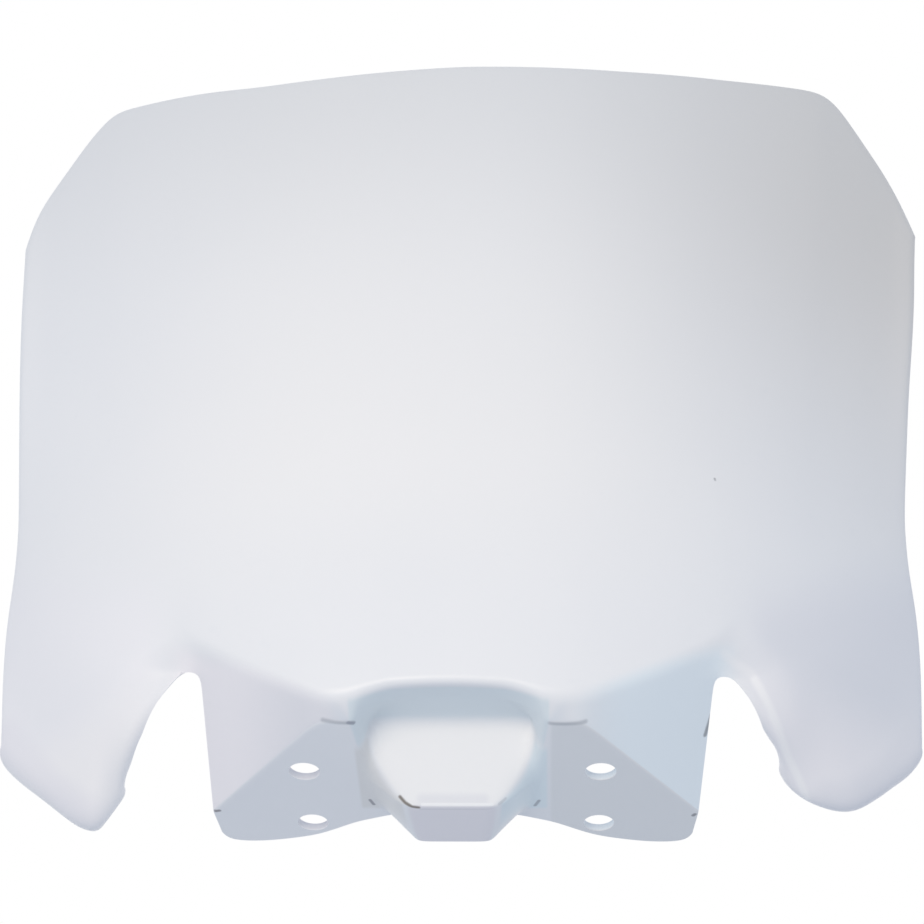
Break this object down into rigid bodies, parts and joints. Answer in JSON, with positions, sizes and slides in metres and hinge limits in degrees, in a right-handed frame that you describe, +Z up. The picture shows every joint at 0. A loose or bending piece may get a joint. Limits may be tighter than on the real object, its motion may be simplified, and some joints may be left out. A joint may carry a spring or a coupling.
{
  "type": "racing number board",
  "caption": "Curved front number board for a small off-road motorcycle, one white moulded shell with swept wings, fork slots and a bolted lower flange.",
  "frame": {"origin": "centre of the four bolt holes, on the underside of the lower flange", "axes": "+Z up the board along its height and through the bolt holes, -Y out of the front face, +X to the right as seen from the front"},
  "size_m": [0.273, 0.0801, 0.2377],
  "materials": {
    "white_plastic": "smooth moulded, semi-gloss, cool white"
  },
  "bodies": {
    "root": {"number_board": "white_plastic"}
  },
  "joints": []
}
